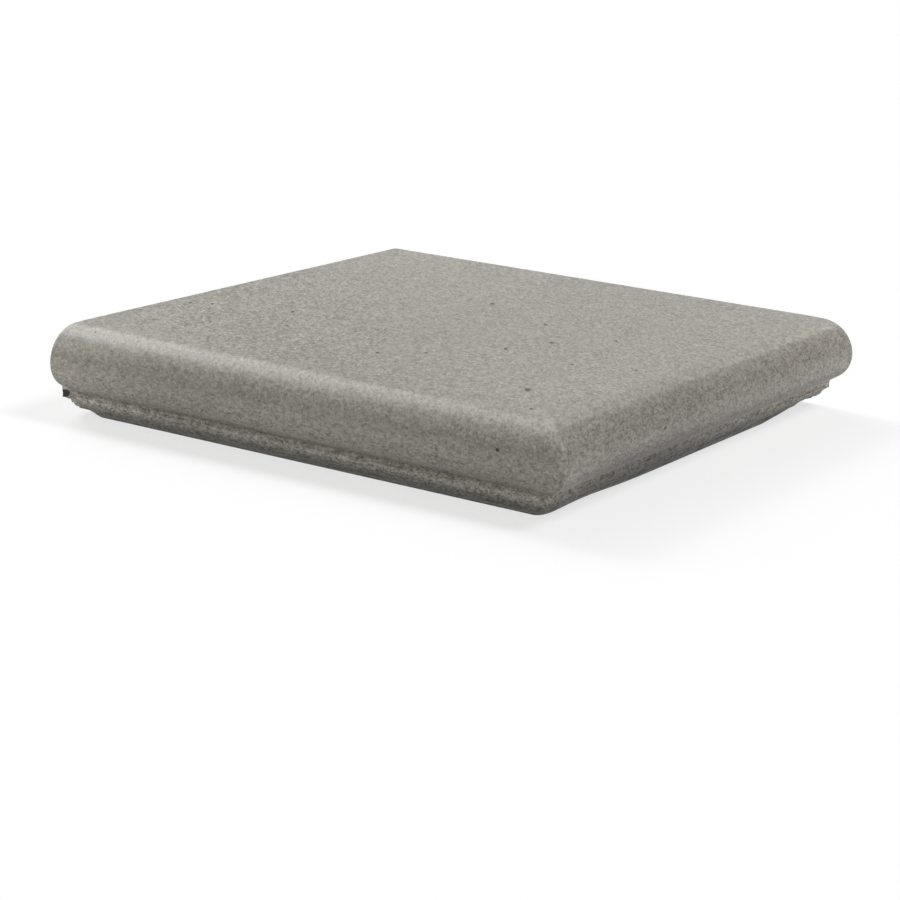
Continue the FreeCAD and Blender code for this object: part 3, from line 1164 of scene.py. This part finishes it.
    def painted_face_tone(self, board: Patterns, at: ClayPlace) -> Socket:
        """Work out the painted shade and light: darker and lighter bands by the height and along
        each face.

        Args:
            board: The material's nodes.
            at: Where a point lies.

        Returns:
            The tone, near one.
        """
        def run(way: Socket, stops: Stops, span: Span, to: Span) -> Socket:
            """Give a run's tone along its face, held to the heights of its fade."""
            return board.held(board.ramp(way, stops), board.spread(at.z, span, to))

        front = board.ramp(at.z, self.painted_front_levels)
        front = board.times(front, run(at.x, self.painted_front_run, self.front_fade, FALL))
        side = board.ramp(at.level, self.painted_right_levels)
        side = board.times(side, run(at.y, self.painted_right_run, self.right_fade, FALL))
        side = board.times(side, run(at.y, self.painted_right_foot_run, self.foot_fade, FALL))
        pick = board.times(board.join(Step.SUBTRACT, side, front), at.right)
        return board.times(board.plus(front, pick), run(at.x, self.painted_top_run, self.top_rise, RISE))

    def painted_mitre_shade(self, board: Patterns, at: ClayPlace) -> Socket:
        """Paint shade down the mitre: faint dark lines between the nose's two rounds.

        Formula: a line is dark at its place past the mitre and fades over its reach.

        Args:
            board: The material's nodes.
            at: Where a point lies.

        Returns:
            The tone, one away from the lines.
        """
        span = board.times(
            board.spread(at.z, self.mitre_rise, RISE), board.spread(at.z, self.mitre_fade, FALL)
        )
        total: Value = 1.0
        for place, reach, dark in self.painted_mitre_lines:
            offset = board.join(Step.SUBTRACT, at.past, place)
            apart = board.join(Step.MAXIMUM, offset, board.times(offset, -1.0))
            line = board.spread(apart, (self.mitre_core * reach, reach), (dark, 0.0))
            total = board.join(Step.SUBTRACT, total, board.times(line, span))
        return total

    def pitted(self, board: Patterns, colour: Socket, lie: Socket) -> Socket:
        """Darken the named pits, which lie drawn out one way, and a scatter of small ones.
        The last named spot is painted shade at the drip groove's end.

        Args:
            board: The material's nodes.
            colour: The colour so far.
            lie: The drawn-out place.

        Returns:
            The colour with its pits.
        """
        turn = Matrix.Rotation(-self.lie_turn, 3, "Z")
        rims = []
        for pit in PITS_AND_NOTCH_SHADE:
            point = turn @ Vector((pit.x, pit.y, pit.z)) * MM
            apart = board.away(lie, point * Vector(self.lie_squeeze))
            rims.append(board.join(Step.SUBTRACT, apart, pit.width * MM * self.pit_share))
        wobble = board.times(board.noise(self.pit_scale, board.place), self.pit_wobble)
        ragged = board.plus(board.join(Step.MINIMUM, *rims), wobble)
        named = board.spread(ragged, self.pit_edge, self.pit_shade)
        chosen, way = board.cells(self.scatter_width, board.place)
        size = board.spread(chosen, self.scatter_chosen, self.scatter_size)
        inside = board.join(Step.SUBTRACT, size, way)
        scattered = board.spread(inside, self.scatter_edge, self.scatter_shade)
        return board.blend(board.join(Step.MAXIMUM, named, scattered), colour, self.pit)

    def raise_sand(self, board: Patterns, height: Socket) -> None:
        """Raise the sand as a fine bump that is stronger on the foot and the right nose.

        Args:
            board: The material's nodes.
            height: The sand's height.
        """
        feeds = {"Strength": self.bump_strength, "Distance": self.bump_depth, "Height": height}
        bump = board.node("ShaderNodeBump", feeds)
        board.feed(board.shader.inputs["Normal"], bump.outputs[0])


@dataclass(frozen=True)
class Lamp:
    """One soft distant lamp: its strength, its spread and where it shines from.

    The spread, the bearing and the rise are in degrees. The bearing is zero in front of
    the front nose and ninety off the right nose.
    """

    name: str
    strength: float
    spread: float
    bearing: float
    rise: float

    def hang(self) -> None:
        """Add the lamp to the scene."""
        light = bpy.data.lights.new(self.name, "SUN")
        light.energy = self.strength
        light.angle = math.radians(self.spread)
        bearing, rise = math.radians(self.bearing), math.radians(self.rise)
        level = Vector((math.sin(bearing), -math.cos(bearing), 0.0)) * math.cos(rise)
        source = level + Vector((0.0, 0.0, math.sin(rise)))
        placed(self.name, light).rotation_euler = source.to_track_quat("Z", "Y").to_euler()


@dataclass(frozen=True)
class Studio:
    """The floor, the lights and the camera round the piece."""

    floor_reach: float = 12.0
    ambient: float = 0.06
    bounce: float = 0.48
    white: float = 0.36
    glow: float = 0.69
    lamps: tuple[Lamp, ...] = (
        Lamp("high_lamp", 1.26, 20, 104, 54),
        Lamp("left_key", 0.83, 18, 258, 37),
        Lamp("left_soft", 0.66, 30, 237, 36),
        Lamp("high_back", 0.21, 30, 246, 62),
        Lamp("near_low", 1.05, 40, 26, 12),
        Lamp("left_low", 0.46, 40, 270, 12),
        Lamp("right_low", 0.29, 40, 90, 12),
        Lamp("rear_low", 0.29, 40, 196, 12),
    )
    camera_turn: float = math.radians(33.110)
    camera_drop: float = math.radians(15.396)
    camera_roll: float = math.radians(2.241)
    camera_aside: float = -7.23 * MM
    camera_above: float = -19.97 * MM
    camera_back: float = 1363.8 * MM
    camera_reach: float = 50.0
    focal_pixels: float = 2381.2
    image_pixels: float = 900.0
    sensor: float = 36.0

    def add_floor(self) -> None:
        """Lay a plain floor that shows pale to the camera and bounces a softer light."""
        reach = self.floor_reach
        mesh = bpy.data.meshes.new("studio_floor")
        corners = [(-reach, -reach, 0), (reach, -reach, 0), (reach, reach, 0), (-reach, reach, 0)]
        mesh.from_pydata([Vector(corner) for corner in corners], [], [(0, 1, 2, 3)])
        mesh.materials.append(self.floor_finish())
        placed("studio_floor", mesh)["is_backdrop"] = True

    def floor_finish(self) -> bpy.types.Material:
        """Make the floor's material: white where it is seen, grey where it only bounces.

        Returns:
            The finished material.
        """
        board = Patterns("studio_floor")
        board.tree.nodes.clear()
        rays = board.node("ShaderNodeLightPath").outputs
        seen = (rays[f"Is {ray} Ray"] for ray in ("Camera", "Glossy", "Transmission"))
        clear = board.join(Step.MAXIMUM, *seen)
        grey, white = (
            board.node("ShaderNodeBsdfDiffuse", {0: (tone, tone, tone, 1.0)}).outputs[0]
            for tone in (self.bounce, self.white)
        )
        glow = board.node("ShaderNodeEmission", {0: WHITE, 1: self.glow}).outputs[0]
        lit = board.node("ShaderNodeAddShader", {0: white, 1: glow}).outputs[0]
        mix = board.node("ShaderNodeMixShader", {0: clear, 1: grey, 2: lit}).outputs[0]
        board.node("ShaderNodeOutputMaterial", {0: mix})
        return board.material

    def add_lights(self) -> None:
        """Light the piece softly from all round, and by the lamps."""
        world = bpy.data.worlds.new("studio_light")
        world.use_nodes = True
        sky = world.node_tree.nodes["Background"].inputs
        sky["Color"].default_value = WHITE
        sky["Strength"].default_value = self.ambient
        bpy.context.scene.world = world
        for lamp in self.lamps:
            lamp.hang()

    def add_camera(self) -> None:
        """Stand the camera where the photograph was taken from.

        Formula: the camera looks along a turn round the vertical, a drop and a roll. Its
        place is the sum of its three axes times its offsets from the origin.
        """
        turn, drop, roll = self.camera_turn, self.camera_drop, self.camera_roll
        ahead = Vector((math.sin(turn), -math.cos(turn), 0.0))
        back = ahead * math.cos(drop) + Vector((0.0, 0.0, math.sin(drop)))
        level = Vector((math.cos(turn), math.sin(turn), 0.0))
        above = back.cross(level)
        aside = level * math.cos(roll) + above * math.sin(roll)
        up = above * math.cos(roll) - level * math.sin(roll)
        lens = bpy.data.cameras.new("photo_camera")
        lens.sensor_width = self.sensor
        lens.lens = self.focal_pixels / self.image_pixels * self.sensor
        lens.clip_end = self.camera_reach
        camera = placed("photo_camera", lens)
        place = aside * self.camera_aside + up * self.camera_above + back * self.camera_back
        axes = Matrix((aside, up, back)).transposed().to_4x4()
        camera.matrix_world = Matrix.Translation(place) @ axes
        bpy.context.scene.camera = camera

    def set_up(self) -> None:
        """Build the whole studio."""
        bpy.context.scene.view_settings.view_transform = "Standard"
        self.add_camera()
        self.add_lights()
        self.add_floor()


def main() -> None:
    """Build the studio and the piece, and report them."""
    logging.basicConfig(level=logging.INFO, format="%(message)s")
    Studio().set_up()
    tread = ClinkerTread()
    piece = tread.build("clinker_tread")
    tread.dress(piece, ClinkerFinish().make())
    low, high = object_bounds()
    log.info("dressed size: %s mm", [round((b - a) / MM, 2) for a, b in zip(low, high)])


if __name__ == "__main__":
    main()
